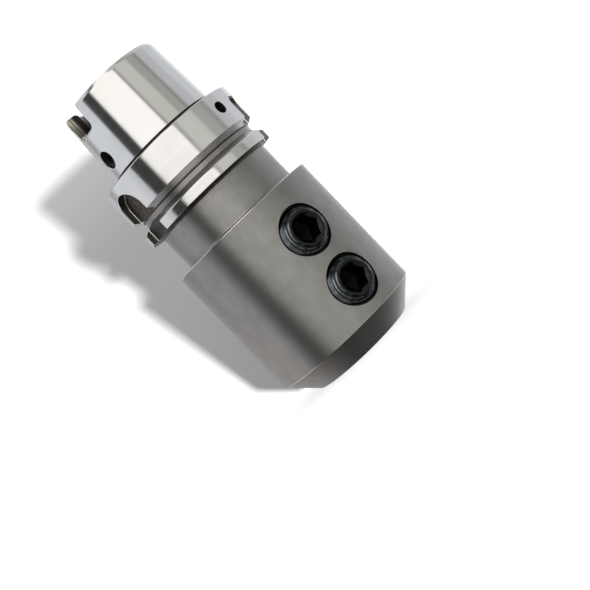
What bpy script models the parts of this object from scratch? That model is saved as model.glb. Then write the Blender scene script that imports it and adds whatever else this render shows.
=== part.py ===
"""An endmill holder: a side-lock tool holder on a hollow taper shank.

The holder is one turned and ground steel body. A cutter with a flat on its
shank goes up into the tool bore at the nose, and two black socket screws
clamp it from the side. The other end is the hollow taper that the machine
spindle draws in. A coolant tube with its nut and two seals sits inside it.

The spindle axis is Z. The holder stands on its nose face, which is Z = 0,
and its shank points up. The clamp screws face -Y. An azimuth is measured
round the spindle axis from -Y towards +X.
Lengths are in metres and angles in degrees.
"""

import math

import bmesh
import bpy
from mathutils import Matrix, Vector

# Body: the thick front end that holds the cutter
BODY_DIAMETER = 0.065
BODY_LENGTH = 0.068
NOSE_CHAMFER = 0.00975
NOSE_CHAMFER_ANGLE = 45.0
TOOL_BORE_DIAMETER = 0.025
TOOL_BORE_DEPTH = 0.060
BORE_MOUTH_CHAMFER = 0.0006

# Neck between the body and the flange
NECK_LENGTH = 0.0165
NECK_STEP = 0.005

# Flange, which the tool changer grips by its V groove
FLANGE_DIAMETER = 0.063
LOWER_LAND_WIDTH = 0.0041
GROOVE_WIDTH = 0.0068
UPPER_LAND_WIDTH = 0.0146
GROOVE_DEPTH = 0.004
GROOVE_FLANK_ANGLE = 30.0

# Turned edges and corners
EDGE_CHAMFER = 0.0005
CORNER_FILLET = 0.0012

# Hollow taper shank
SHANK_LENGTH = 0.032
GAUGE_DIAMETER = 0.04801
GAUGE_HEIGHT = 0.0063
TAPER_RATIO = 9.98
RELIEF_WIDTH = 0.0009
RELIEF_DEPTH = 0.0006
FACE_RELIEF_DEPTH = 0.0003
SHANK_END_CHAMFER = 0.0014
SHANK_END_WALL = 0.0057
SHANK_LEAD_IN = 0.0010
CLAMP_SHOULDER_HEIGHT = 0.01813
CLAMP_SHOULDER_ANGLE = 30.0
CLAMP_RECESS_STEP = 0.003
HOLLOW_FLOOR_HEIGHT = 0.0045

# Drive slots across the shank's end, one deeper than the other
DRIVE_AZIMUTH = -86.0
DRIVE_SLOT_WIDTH = 0.0138
DRIVE_SLOT_DEPTH = 0.0106
SHALLOW_SLOT_DEPTH = 0.0086
DRIVE_SLOT_CORNER = 0.002

# Radial holes below the drive slots, for a key to the spindle's clamping unit
ACCESS_HOLE_DIAMETER = 0.0076
ACCESS_HOLE_HEIGHT = 0.0093

# Flange keyways: the first in line with the drive slots and round at its upper end
KEYWAY_WIDTH = 0.016
KEYWAY_TOP_WALL = 0.004
SECOND_KEYWAY_AZIMUTH = 54.0
SECOND_KEYWAY_WIDTH = 0.018
SECOND_KEYWAY_TOP_WALL = 0.0046
SECOND_KEYWAY_CORNER = 0.0035

# Small blind hole in the flange's upper land
FLANGE_HOLE_DIAMETER = 0.005
FLANGE_HOLE_DEPTH = 0.006
FLANGE_HOLE_DROP = 0.0067
FLANGE_HOLE_AZIMUTH = 22.0

# Clamp screws and the holes that they run in
SCREW_DIAMETER = 0.018
SCREW_LENGTH = 0.020
SCREW_STANDOFF = 0.0015
SCREW_OUTER_CHAMFER = 0.0021
SCREW_INNER_CHAMFER = 0.0025
FRONT_SCREW_HEIGHT = 0.024
SCREW_SPACING = 0.025
HEX_ACROSS_FLATS = 0.010
HEX_DEPTH = 0.009
HEX_MOUTH_CHAMFER = 0.0003
SCREW_MOUTH_STEP = 0.0010
SCREW_MOUTH_DEPTH = 0.0018

# Coolant passages through the body to two nozzles in the nose
COOLANT_BORE_DIAMETER = 0.008
CHANNEL_DIAMETER = 0.003
CHANNEL_WALL = 0.003
NOZZLE_WALL = 0.0015
NOZZLE_ANGLE = 8.5
CHANNEL_AZIMUTH = -60.0
FEED_HEIGHT = 0.004

# Coolant tube, its nut and its two seals
TUBE_DIAMETER = 0.012
TUBE_BORE = 0.008
TUBE_SETBACK = 0.0072
TUBE_COLLAR_LENGTH = 0.002
TUBE_END_CHAMFER = 0.0006
SEAL_SECTION = 0.0013
SEAL_POCKET_DEPTH = 0.012
NUT_DIAMETER = 0.018
NUT_LENGTH = 0.008
NUT_SLOT_WIDTH = 0.003
NUT_SLOT_DEPTH = 0.0022

# Gap between pieces that are screwed, sealed or pushed together
CLEARANCE = 0.0003

# Fineness of the round shapes
BODY_SIDES = 72
SCREW_SIDES = 48
TUBE_SIDES = 40
SEAL_SIDES = 8
HOLE_SIDES = 32
FILLET_STEPS = 3
OVERSHOOT = 0.002

# Heights along the spindle axis
flange_low = BODY_LENGTH + NECK_LENGTH
groove_low = flange_low + LOWER_LAND_WIDTH
groove_high = groove_low + GROOVE_WIDTH
contact_face = groove_high + UPPER_LAND_WIDTH
shank_end = contact_face + SHANK_LENGTH
hollow_floor = contact_face + HOLLOW_FLOOR_HEIGHT
pocket_floor = contact_face - SEAL_POCKET_DEPTH

# Radii about the spindle axis
body_radius = BODY_DIAMETER / 2
flange_radius = FLANGE_DIAMETER / 2
neck_radius = flange_radius - NECK_STEP
groove_radius = flange_radius - GROOVE_DEPTH
tool_bore_radius = TOOL_BORE_DIAMETER / 2
shank_bore_radius = GAUGE_DIAMETER / 2 - (SHANK_LENGTH - GAUGE_HEIGHT) / TAPER_RATIO / 2 - SHANK_END_WALL
recess_radius = shank_bore_radius + CLAMP_RECESS_STEP
tube_radius = TUBE_DIAMETER / 2
seal_inner_radius = tube_radius + CLEARANCE
pocket_radius = seal_inner_radius + SEAL_SECTION + CLEARANCE
nut_radius = NUT_DIAMETER / 2
nut_hole_radius = nut_radius + CLEARANCE

# The stack in the seal pocket, from its floor up
lower_seal_height = pocket_floor + CLEARANCE + SEAL_SECTION / 2
collar_low = lower_seal_height + SEAL_SECTION / 2 + CLEARANCE
collar_high = collar_low + TUBE_COLLAR_LENGTH
upper_seal_height = collar_high + CLEARANCE + SEAL_SECTION / 2
nut_low = upper_seal_height + SEAL_SECTION / 2 + CLEARANCE

# The clamp screws, measured out from the spindle axis
screw_radius = SCREW_DIAMETER / 2
screw_hole_radius = screw_radius + CLEARANCE
screw_inner_end = tool_bore_radius + SCREW_STANDOFF
screw_outer_end = screw_inner_end + SCREW_LENGTH
screw_heights = {
    "front_clamp_screw": FRONT_SCREW_HEIGHT,
    "rear_clamp_screw": FRONT_SCREW_HEIGHT + SCREW_SPACING,
}


def clear_scene():
    """Removes what Blender starts with."""
    for obj in list(bpy.data.objects):
        bpy.data.objects.remove(obj)


def steel(name, colour, roughness, metallic=1.0):
    """A plain Principled material."""
    material = bpy.data.materials.new(name)
    material.use_nodes = True
    shader = material.node_tree.nodes["Principled BSDF"]
    shader.inputs["Base Color"].default_value = (*colour, 1.0)
    shader.inputs["Roughness"].default_value = roughness
    shader.inputs["Metallic"].default_value = metallic
    return material


def add_object(name, mesh, material=None):
    """Links a mesh as an object, shaded smooth with its true edges kept sharp."""
    obj = bpy.data.objects.new(name, mesh)
    bpy.context.scene.collection.objects.link(obj)
    mesh.shade_smooth()
    mesh.set_sharp_from_angle(angle=math.radians(25))
    if material:
        mesh.materials.append(material)
    return obj


def mesh_from(name, bm):
    """A mesh from a bmesh, with its faces turned outwards."""
    bmesh.ops.recalc_face_normals(bm, faces=bm.faces)
    mesh = bpy.data.meshes.new(name)
    bm.to_mesh(mesh)
    bm.free()
    return mesh


def turned(name, profile, sides):
    """A ring turned about Z from a closed profile of (radius, height) points."""
    bm = bmesh.new()
    rings = []
    for side in range(sides):
        angle = 2 * math.pi * side / sides
        rings.append([bm.verts.new((r * math.cos(angle), r * math.sin(angle), z)) for r, z in profile])
    for here, there in zip(rings, rings[1:] + rings[:1]):
        for low in range(len(profile)):
            high = (low + 1) % len(profile)
            bm.faces.new((here[low], there[low], there[high], here[high]))
    return mesh_from(name, bm)


def stacked(name, profile, sides):
    """A solid of round sections along Z, from (radius, height) points, closed at both ends."""
    bm = bmesh.new()
    rings = []
    for r, z in profile:
        angles = (2 * math.pi * side / sides for side in range(sides))
        rings.append([bm.verts.new((r * math.cos(a), r * math.sin(a), z)) for a in angles])
    for here, there in zip(rings, rings[1:]):
        for side in range(sides):
            after = (side + 1) % sides
            bm.faces.new((here[side], here[after], there[after], there[side]))
    bm.faces.new(list(reversed(rings[0])))
    bm.faces.new(rings[-1])
    return mesh_from(name, bm)


def extruded(name, outline, low, high):
    """A prism with its (x, y) outline pushed along Z from low to high."""
    bm = bmesh.new()
    base = bm.faces.new([bm.verts.new((x, y, low)) for x, y in outline])
    grown = bmesh.ops.extrude_face_region(bm, geom=[base])["geom"]
    top = [item for item in grown if isinstance(item, bmesh.types.BMVert)]
    bmesh.ops.translate(bm, verts=top, vec=(0, 0, high - low))
    return mesh_from(name, bm)


def arc(centre, radius, start, end, steps):
    """Points on an arc about a (radius, height) centre, from one angle in degrees to another."""
    angles = [math.radians(start + (end - start) * step / steps) for step in range(steps + 1)]
    return [(centre[0] + radius * math.cos(a), centre[1] + radius * math.sin(a)) for a in angles]


def shoulder(below, above, height):
    """The outline of a step from one radius to another: a chamfer on its edge, a fillet in its corner."""
    step = abs(below - above)
    edge = min(EDGE_CHAMFER, step / 3)
    fillet = min(CORNER_FILLET, step / 3)
    if below > above:
        edge_points = [(below, height - edge), (below - edge, height)]
        return edge_points + arc((above + fillet, height + fillet), fillet, 270, 180, FILLET_STEPS)
    corner = arc((below + fillet, height - fillet), fillet, 180, 90, FILLET_STEPS)
    return corner + [(above - edge, height), (above, height + edge)]


def facing(azimuth):
    """Turns an object that points along Z to point out from the spindle axis at an azimuth."""
    out = Matrix.Rotation(math.radians(azimuth), 4, "Z")
    return out @ Matrix.Rotation(math.radians(90), 4, "X")


def cut(target, cutter):
    """Takes the cutter's volume out of the target."""
    cutter.hide_render = True
    cutter.display_type = "WIRE"
    modifier = target.modifiers.new(cutter.name, "BOOLEAN")
    modifier.object = cutter
    modifier.operation = "DIFFERENCE"
    modifier.solver = "EXACT"


def shank_radius(height):
    """The taper's outer radius at a height above the contact face."""
    return GAUGE_DIAMETER / 2 - (height - GAUGE_HEIGHT) / TAPER_RATIO / 2


def outer_outline():
    """The holder's outside, from the tool bore's mouth at the nose up to the shank's end."""
    chamfer_height = NOSE_CHAMFER * math.tan(math.radians(NOSE_CHAMFER_ANGLE))
    flank = GROOVE_DEPTH * math.tan(math.radians(GROOVE_FLANK_ANGLE))
    taper_start = RELIEF_WIDTH + RELIEF_DEPTH
    taper_end = SHANK_LENGTH - SHANK_END_CHAMFER
    relief_radius = shank_radius(taper_start) - RELIEF_DEPTH
    face_inner_radius = shank_radius(0) + FACE_RELIEF_DEPTH
    points = [
        (tool_bore_radius + BORE_MOUTH_CHAMFER, 0),
        (body_radius - NOSE_CHAMFER, 0),
        (body_radius, chamfer_height),
    ]
    points += shoulder(body_radius, neck_radius, BODY_LENGTH)
    points += shoulder(neck_radius, flange_radius, flange_low)
    points += [
        (flange_radius, groove_low),
        (groove_radius, groove_low + flank),
        (groove_radius, groove_high - flank),
        (flange_radius, groove_high),
        (flange_radius, contact_face - EDGE_CHAMFER),
        (flange_radius - EDGE_CHAMFER, contact_face),
        (face_inner_radius, contact_face),
        (relief_radius, contact_face - FACE_RELIEF_DEPTH),
        (relief_radius, contact_face + RELIEF_WIDTH),
        (shank_radius(taper_start), contact_face + taper_start),
        (shank_radius(taper_end), contact_face + taper_end),
        (shank_radius(taper_end) - SHANK_END_CHAMFER / 2, shank_end),
    ]
    return points


def inner_outline():
    """The holder's inside, from the shank's end down to the tool bore's mouth."""
    shoulder_rise = CLAMP_RECESS_STEP / math.tan(math.radians(CLAMP_SHOULDER_ANGLE))
    shoulder_low = contact_face + CLAMP_SHOULDER_HEIGHT
    return [
        (shank_bore_radius + SHANK_LEAD_IN, shank_end),
        (shank_bore_radius, shank_end - SHANK_LEAD_IN),
        (shank_bore_radius, shoulder_low + shoulder_rise),
        (recess_radius, shoulder_low),
        (recess_radius, hollow_floor),
        (nut_hole_radius + EDGE_CHAMFER, hollow_floor),
        (nut_hole_radius, hollow_floor - EDGE_CHAMFER),
        (nut_hole_radius, nut_low - CLEARANCE),
        (pocket_radius, nut_low - CLEARANCE),
        (pocket_radius, pocket_floor),
        (COOLANT_BORE_DIAMETER / 2, pocket_floor),
        (COOLANT_BORE_DIAMETER / 2, TOOL_BORE_DEPTH),
        (tool_bore_radius, TOOL_BORE_DEPTH),
        (tool_bore_radius, BORE_MOUTH_CHAMFER),
    ]


def screw_hole_cutter(name, height):
    """A clamp screw's hole: the thread's cylinder, opened out where it leaves the body."""
    mouth_radius = screw_hole_radius + SCREW_MOUTH_STEP
    mouth_start = body_radius - SCREW_MOUTH_DEPTH
    profile = [
        (screw_hole_radius, 0),
        (screw_hole_radius, mouth_start - SCREW_MOUTH_STEP),
        (mouth_radius, mouth_start),
        (mouth_radius, body_radius + OVERSHOOT),
    ]
    cutter = add_object(name, stacked(name, profile, SCREW_SIDES))
    cutter.matrix_world = Matrix.Translation((0, 0, height)) @ facing(0)
    return cutter


def keyway_cutter(name, azimuth, width, top, corner):
    """A flange keyway as deep as the V groove: open at its lower end, rounded at its upper corners."""
    half = width / 2
    low = flange_low - OVERSHOOT
    steps = 4 * FILLET_STEPS
    right = arc((half - corner, top - corner), corner, 0, 90, steps)
    left = [(-x, z) for x, z in reversed(right)]
    if corner >= half:
        left = left[1:]
    outline = [(-half, low), (half, low)] + right + left
    mesh = extruded(name, outline, groove_radius, flange_radius + OVERSHOOT)
    cutter = add_object(name, mesh)
    cutter.matrix_world = facing(azimuth)
    return cutter


def drive_slot_cutter(name, azimuth, depth):
    """A drive slot through the shank's wall, with rounded corners at its floor."""
    half = DRIVE_SLOT_WIDTH / 2
    floor = shank_end - depth
    corner = DRIVE_SLOT_CORNER
    left = arc((corner - half, floor + corner), corner, 180, 270, FILLET_STEPS)
    right = [(-x, z) for x, z in reversed(left)]
    outline = left + right + [(half, shank_end + OVERSHOOT), (-half, shank_end + OVERSHOOT)]
    start = shank_bore_radius - SHANK_END_WALL
    mesh = extruded(name, outline, start, GAUGE_DIAMETER / 2 + OVERSHOOT)
    cutter = add_object(name, mesh)
    cutter.matrix_world = facing(azimuth)
    return cutter


def radial_hole_cutter(name, azimuth, height, radius, start, end):
    """A round hole pointing out from the spindle axis, from one distance to another."""
    cutter = add_object(name, stacked(name, [(radius, start), (radius, end)], HOLE_SIDES))
    cutter.matrix_world = Matrix.Translation((0, 0, height)) @ facing(azimuth)
    return cutter


def channel_cutter(name, azimuth, points):
    """A drilled passage along (distance from the axis, height) points, a straight hole for each stretch."""
    radius = CHANNEL_DIAMETER / 2
    cutters = []
    out = Vector((math.sin(math.radians(azimuth)), -math.cos(math.radians(azimuth)), 0))
    places = [out * distance + Vector((0, 0, height)) for distance, height in points]
    for number, (start, end) in enumerate(zip(places, places[1:]), 1):
        along = end - start
        hole_name = f"{name}_{number}"
        mesh = stacked(hole_name, [(radius, 0), (radius, along.length)], HOLE_SIDES // 2)
        cutter = add_object(hole_name, mesh)
        turn = along.to_track_quat("Z", "Y").to_matrix().to_4x4()
        cutter.matrix_world = Matrix.Translation(start) @ turn
        cutters.append(cutter)
    return cutters


def coolant_cutters():
    """A cross feed, an axial channel and an inclined nozzle on each side of the spindle axis."""
    radius = CHANNEL_DIAMETER / 2
    channel = tool_bore_radius + CHANNEL_WALL + radius
    nozzle = tool_bore_radius + NOZZLE_WALL + radius
    slope = math.tan(math.radians(NOZZLE_ANGLE))
    nozzle_top = (channel - nozzle) / slope
    feed = TOOL_BORE_DEPTH + FEED_HEIGHT
    points = [
        (nozzle - OVERSHOOT * slope, -OVERSHOOT),
        (channel, nozzle_top),
        (channel, feed + radius),
    ]
    cutters = []
    for side, azimuth in (("left", CHANNEL_AZIMUTH), ("right", CHANNEL_AZIMUTH + 180)):
        cutters += channel_cutter(f"coolant_channel_{side}", azimuth, points)
        feed_name = f"coolant_feed_{side}"
        cutters.append(radial_hole_cutter(feed_name, azimuth, feed, radius, 0, channel))
    return cutters


def make_holder():
    """The one-piece steel holder, with its holes, slots and keyways cut."""
    finish = steel("holder_steel", (0.42, 0.41, 0.39), 0.32)
    mesh = turned("holder_body", outer_outline() + inner_outline(), BODY_SIDES)
    holder = add_object("holder_body", mesh, finish)
    cutters = [screw_hole_cutter(f"{name}_hole", height) for name, height in screw_heights.items()]
    first_top = contact_face - KEYWAY_TOP_WALL
    second_top = contact_face - SECOND_KEYWAY_TOP_WALL
    cutters += [
        keyway_cutter("first_keyway", DRIVE_AZIMUTH, KEYWAY_WIDTH, first_top, KEYWAY_WIDTH / 2),
        keyway_cutter(
            "second_keyway",
            SECOND_KEYWAY_AZIMUTH,
            SECOND_KEYWAY_WIDTH,
            second_top,
            SECOND_KEYWAY_CORNER,
        ),
        drive_slot_cutter("drive_slot", DRIVE_AZIMUTH, DRIVE_SLOT_DEPTH),
        drive_slot_cutter("shallow_drive_slot", DRIVE_AZIMUTH + 180, SHALLOW_SLOT_DEPTH),
    ]
    access_height = contact_face + ACCESS_HOLE_HEIGHT
    access_start = shank_bore_radius - OVERSHOOT
    access_end = GAUGE_DIAMETER / 2 + OVERSHOOT
    for name, azimuth in (("access_hole", DRIVE_AZIMUTH), ("rear_access_hole", DRIVE_AZIMUTH + 180)):
        radius = ACCESS_HOLE_DIAMETER / 2
        cutters.append(radial_hole_cutter(name, azimuth, access_height, radius, access_start, access_end))
    hole_floor = flange_radius - FLANGE_HOLE_DEPTH
    cutters.append(
        radial_hole_cutter(
            "flange_hole",
            FLANGE_HOLE_AZIMUTH,
            contact_face - FLANGE_HOLE_DROP,
            FLANGE_HOLE_DIAMETER / 2,
            hole_floor,
            flange_radius + OVERSHOOT,
        )
    )
    cutters += coolant_cutters()
    for cutter in cutters:
        cut(holder, cutter)
    return holder


def make_clamp_screw(name, height, finish):
    """A socket screw with a flat end, its origin on its own axis where that meets the spindle axis."""
    profile = [
        (screw_radius - SCREW_INNER_CHAMFER, screw_inner_end),
        (screw_radius, screw_inner_end + SCREW_INNER_CHAMFER),
        (screw_radius, screw_outer_end - SCREW_OUTER_CHAMFER),
        (screw_radius - SCREW_OUTER_CHAMFER, screw_outer_end),
    ]
    screw = add_object(name, stacked(name, profile, SCREW_SIDES), finish)
    place = Matrix.Translation((0, 0, height)) @ facing(0)
    screw.matrix_world = place
    corner_radius = HEX_ACROSS_FLATS / 2 / math.cos(math.radians(30))
    mouth_radius = corner_radius + HEX_MOUTH_CHAMFER
    floor = screw_outer_end - HEX_DEPTH
    mouth_rise = HEX_MOUTH_CHAMFER + corner_radius - HEX_ACROSS_FLATS / 2
    socket_profile = [
        (corner_radius / 4, floor - corner_radius / 2),
        (corner_radius, floor),
        (corner_radius, screw_outer_end + OVERSHOOT),
    ]
    socket = stacked(f"{name}_socket", socket_profile, 6)
    mouth = stacked(
        f"{name}_socket_mouth",
        [
            (mouth_radius - mouth_rise, screw_outer_end - mouth_rise),
            (mouth_radius + OVERSHOOT, screw_outer_end + OVERSHOOT),
        ],
        SCREW_SIDES,
    )
    for mesh in (socket, mouth):
        cutter = add_object(mesh.name, mesh)
        cutter.matrix_world = place
        cut(screw, cutter)
    return screw


def make_coolant_tube():
    """The tube that carries coolant in from the spindle, with the collar that its nut and seals hold."""
    low = pocket_floor + CLEARANCE
    high = shank_end - TUBE_SETBACK
    bore = TUBE_BORE / 2
    collar_radius = pocket_radius - CLEARANCE
    profile = [
        (bore, low),
        (tube_radius, low),
        (tube_radius, collar_low),
        (collar_radius, collar_low),
        (collar_radius, collar_high),
        (tube_radius, collar_high),
        (tube_radius, high - TUBE_END_CHAMFER),
        (tube_radius - TUBE_END_CHAMFER, high),
        (bore, high),
    ]
    finish = steel("tube_steel", (0.62, 0.62, 0.60), 0.25)
    return add_object("coolant_tube", turned("coolant_tube", profile, TUBE_SIDES), finish)


def make_coolant_tube_nut():
    """The ring nut that screws in over the tube's collar, with cross slots for its key."""
    nut_high = nut_low + NUT_LENGTH
    hole = tube_radius + CLEARANCE
    profile = [
        (hole, nut_low),
        (nut_radius - EDGE_CHAMFER, nut_low),
        (nut_radius, nut_low + EDGE_CHAMFER),
        (nut_radius, nut_high - EDGE_CHAMFER),
        (nut_radius - EDGE_CHAMFER, nut_high),
        (hole, nut_high),
    ]
    finish = steel("nut_steel", (0.35, 0.34, 0.33), 0.4)
    nut = add_object("coolant_tube_nut", turned("coolant_tube_nut", profile, TUBE_SIDES), finish)
    half = NUT_SLOT_WIDTH / 2
    reach = nut_radius + OVERSHOOT
    for number, turn in enumerate((45, 135), 1):
        outline = [(-reach, -half), (reach, -half), (reach, half), (-reach, half)]
        name = f"nut_slot_{number}"
        mesh = extruded(name, outline, nut_high - NUT_SLOT_DEPTH, nut_high + OVERSHOOT)
        cutter = add_object(name, mesh)
        cutter.rotation_euler.z = math.radians(turn)
        cut(nut, cutter)
    return nut


def make_seal(name, height, finish):
    """A rubber ring round the coolant tube."""
    centre = (seal_inner_radius + SEAL_SECTION / 2, 0)
    section = arc(centre, SEAL_SECTION / 2, 0, 360, SEAL_SIDES)[:-1]
    seal = add_object(name, turned(name, section, TUBE_SIDES), finish)
    seal.location.z = height
    return seal


def main():
    clear_scene()
    make_holder()
    black = steel("black_oxide_steel", (0.02, 0.02, 0.022), 0.35)
    for name, height in screw_heights.items():
        make_clamp_screw(name, height, black)
    make_coolant_tube()
    make_coolant_tube_nut()
    rubber = steel("seal_rubber", (0.015, 0.015, 0.015), 0.6, metallic=0.0)
    make_seal("lower_tube_seal", lower_seal_height, rubber)
    make_seal("upper_tube_seal", upper_seal_height, rubber)


main()
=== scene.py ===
# %% [markdown]
# # An endmill holder
#
# This tool holder is turned and ground from one steel blank. A cutter goes up into its
# nose, and two black socket screws clamp the cutter from the side. The other end is a
# hollow taper that the machine spindle draws in. The lesson builds its finished look
# around a plain CAD model: fine turned shapes, threads, ground and satin steel, and the
# studio that polished metal needs, because polished metal shows mostly its surroundings.
#
# The CAD model comes in first, as a fixed frame in metres. Each finished piece made below
# replaces one CAD solid, stays in its place and moves with its body.

# %% The frame
import math

import bmesh
import bpy
import numpy as np
from mathutils import Matrix, Vector


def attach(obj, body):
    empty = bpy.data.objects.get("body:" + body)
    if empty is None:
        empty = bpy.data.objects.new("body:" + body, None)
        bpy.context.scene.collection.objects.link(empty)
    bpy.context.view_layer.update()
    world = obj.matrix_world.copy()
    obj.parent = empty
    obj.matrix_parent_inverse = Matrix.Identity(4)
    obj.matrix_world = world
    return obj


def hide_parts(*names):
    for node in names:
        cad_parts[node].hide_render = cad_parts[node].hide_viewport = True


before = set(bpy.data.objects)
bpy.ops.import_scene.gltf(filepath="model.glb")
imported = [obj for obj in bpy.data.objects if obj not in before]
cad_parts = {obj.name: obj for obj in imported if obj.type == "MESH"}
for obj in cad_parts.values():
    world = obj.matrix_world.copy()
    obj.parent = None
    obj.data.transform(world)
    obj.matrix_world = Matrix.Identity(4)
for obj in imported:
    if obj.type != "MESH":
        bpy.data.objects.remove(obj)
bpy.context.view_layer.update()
print("CAD nodes:", sorted(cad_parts))

# %% [markdown]
# ## Sizes
#
# The holder stands on its nose at height zero, and its axis is Z. These are the sizes of
# the CAD model. Heights and radii follow from them, so that a change is made in one place.

# %% Sizes
BODY_RADIUS = 0.0325
BODY_LENGTH = 0.068
NOSE_CHAMFER = 0.00975
TOOL_BORE_RADIUS = 0.0125
TOOL_BORE_DEPTH = 0.060
NECK_RADIUS = 0.0265
FLANGE_LOW = 0.0845
FLANGE_RADIUS = 0.0315
GROOVE_LOW = 0.0886
GROOVE_HIGH = 0.0954
GROOVE_RADIUS = 0.0275
CONTACT_FACE = 0.110
SHANK_END = 0.142
GAUGE_RADIUS = 0.024005
GAUGE_HEIGHT = 0.0063
TAPER_RATIO = 9.98


def shank_radius(height):
    """The taper's outer radius at a height above the contact face."""
    return GAUGE_RADIUS - (height - GAUGE_HEIGHT) / TAPER_RATIO / 2


SHANK_BORE_RADIUS = shank_radius(SHANK_END - CONTACT_FACE) - 0.0057
RECESS_RADIUS = SHANK_BORE_RADIUS + 0.003
HOLLOW_FLOOR = CONTACT_FACE + 0.0045
POCKET_FLOOR = CONTACT_FACE - 0.012
POCKET_RADIUS = 0.0079
COOLANT_PASSAGE_RADIUS = 0.004
NUT_LOW = 0.1038
SCREW_HEIGHTS = {"front": 0.024, "rear": 0.049}
SCREW_RADIUS = 0.009
SCREW_INNER_END = TOOL_BORE_RADIUS + 0.0015
SCREW_OUTER_END = SCREW_INNER_END + 0.020
THREAD_PITCH = 0.001
print(f"taper {2000 * shank_radius(0):.2f} mm across at the contact face")
print(f"shank bore {2000 * SHANK_BORE_RADIUS:.2f} mm across")

# %% [markdown]
# ## Camera
#
# The photograph was taken from the side with a longish lens, the holder lying at a slant
# across the picture. The holder stays upright here and the camera rolls instead. It is
# turned round the axis from the clamp screws, set at a height, and then panned, tilted
# and rolled by small angles.

# %% Camera
CAMERA_AZIMUTH = math.radians(-27.8)
CAMERA_DISTANCE = 0.45849
CAMERA_HEIGHT = 0.05282
CAMERA_PAN = 0.0105
CAMERA_TILT = 0.0429
CAMERA_ROLL = -0.7687
LENS = 71.71

lens_data = bpy.data.cameras.new("photograph_camera")
lens_data.lens = LENS
lens_data.sensor_width = 36.0
lens_data.clip_start = 0.01
lens_data.clip_end = 20.0
camera = bpy.data.objects.new("photograph_camera", lens_data)
bpy.context.scene.collection.objects.link(camera)
bpy.context.scene.camera = camera


def round_z(angle):
    """A turn about the holder's axis."""
    return Matrix.Rotation(angle, 4, "Z")


camera.matrix_world = (
    round_z(CAMERA_AZIMUTH)
    @ Matrix.Translation((0, -CAMERA_DISTANCE, CAMERA_HEIGHT))
    @ Matrix.Rotation(math.pi / 2, 4, "X")
    @ Matrix.Rotation(CAMERA_PAN, 4, "Y")
    @ Matrix.Rotation(-CAMERA_TILT, 4, "X")
    @ Matrix.Rotation(CAMERA_ROLL, 4, "Z")
)
print("camera at", [round(x, 4) for x in camera.matrix_world.translation])

# %% [markdown]
# ## Studio
#
# A ground cylinder is a mirror bent round one axis, so what it shows is the studio as
# seen all the way round. The dark stripe and the broad white band on the shank are a
# black board and a soft box near the camera. They could be real panels standing in the
# scene, but those would get in the way of other views. Here the world itself is the
# studio. A colour ramp wound round the horizon gives each panel its place, and only
# reflections see it. The camera sees plain white, and matt surfaces see an even light.
#
# The body looks down past the panels, where the soft box ends and the black board is
# wider. So a second ramp takes over just below the horizon.

# %% Panels round the horizon
# Each panel: from and to, in degrees round the axis from the camera, and its light.
# Positive is to the camera's right. Gaps between panels blend.
UPPER_PANELS = [
    (-180, -150, (0.50, 0.52, 0.55)),
    (-146, -142, (0.58, 0.60, 0.63)),
    (-137, -123, (0.39, 0.40, 0.42)),
    (-113, -63, (0.71, 0.74, 0.78)),
    (-59, -40, (0.05, 0.05, 0.05)),
    (-35, 24, (1.24, 1.22, 1.18)),
    (26, 29, (0.33, 0.32, 0.31)),
    (32, 57, (0.61, 0.61, 0.57)),
    (61, 75, (0.39, 0.39, 0.36)),
    (79, 84, (0.28, 0.28, 0.27)),
    (87, 108, (0.54, 0.54, 0.56)),
    (112, 138, (0.62, 0.65, 0.70)),
    (146, 152, (0.84, 0.84, 0.84)),
    (160, 180, (0.98, 0.98, 0.98)),
]
LOWER_PANELS = [
    (-180, -150, (0.52, 0.53, 0.55)),
    (-140, -76, (0.79, 0.745, 0.735)),
    (-66, -36, (0.03, 0.03, 0.03)),
    (-24, 14, (0.565, 0.56, 0.52)),
    (24, 46, (0.74, 0.73, 0.70)),
    (60, 96, (0.54, 0.54, 0.53)),
    (106, 146, (0.78, 0.78, 0.79)),
    (156, 180, (1.05, 1.05, 1.05)),
]
LOWER_SET_AT, UPPER_SET_AT = -0.10, 0.075
print(len(UPPER_PANELS), "upper and", len(LOWER_PANELS), "lower panels round the horizon")


# %% Helpers for nodes
def add_node(tree, kind, **settings):
    """A new node with its settings."""
    node = tree.nodes.new(kind)
    for name, value in settings.items():
        setattr(node, name, value)
    return node


def fill(node, **values):
    """Sets a node's input sockets by name, with _ for a space."""
    for name, value in values.items():
        node.inputs[name.replace("_", " ")].default_value = value
    return node


def feed(tree, socket, value):
    """Gives an input socket a link or a plain value."""
    if isinstance(value, bpy.types.NodeSocket):
        tree.links.new(value, socket)
    else:
        socket.default_value = value


def join(tree, kind, *values, **settings):
    """A new node with its first inputs fed in order, and its first output."""
    node = add_node(tree, kind, **settings)
    for socket, value in zip(node.inputs, values):
        feed(tree, socket, value)
    return node.outputs[0]


def compute(tree, operation, *values):
    """A Math node on some values, and its output."""
    return join(tree, "ShaderNodeMath", *values, operation=operation)


def mix(tree, factor, first, second, blend_type="MIX"):
    """A Mix node on two colours, and its output."""
    node = add_node(tree, "ShaderNodeMix", data_type="RGBA", blend_type=blend_type)
    for name, value in (("Factor", factor), ("A", first), ("B", second)):
        feed(tree, node.inputs[name], value)
    return node.outputs["Result"]


def grey(value):
    """A neutral colour for a node's socket."""
    return value, value, value, 1


def ramp_stops(ramp, stops):
    """Gives a colour ramp its (position, colour) stops."""
    elements = ramp.color_ramp.elements
    while len(elements) > 1:
        elements.remove(elements[-1])
    elements[0].position, elements[0].color = stops[0][0], (*stops[0][1], 1)
    for position, colour in stops[1:]:
        elements.new(position).color = (*colour, 1)


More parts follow.
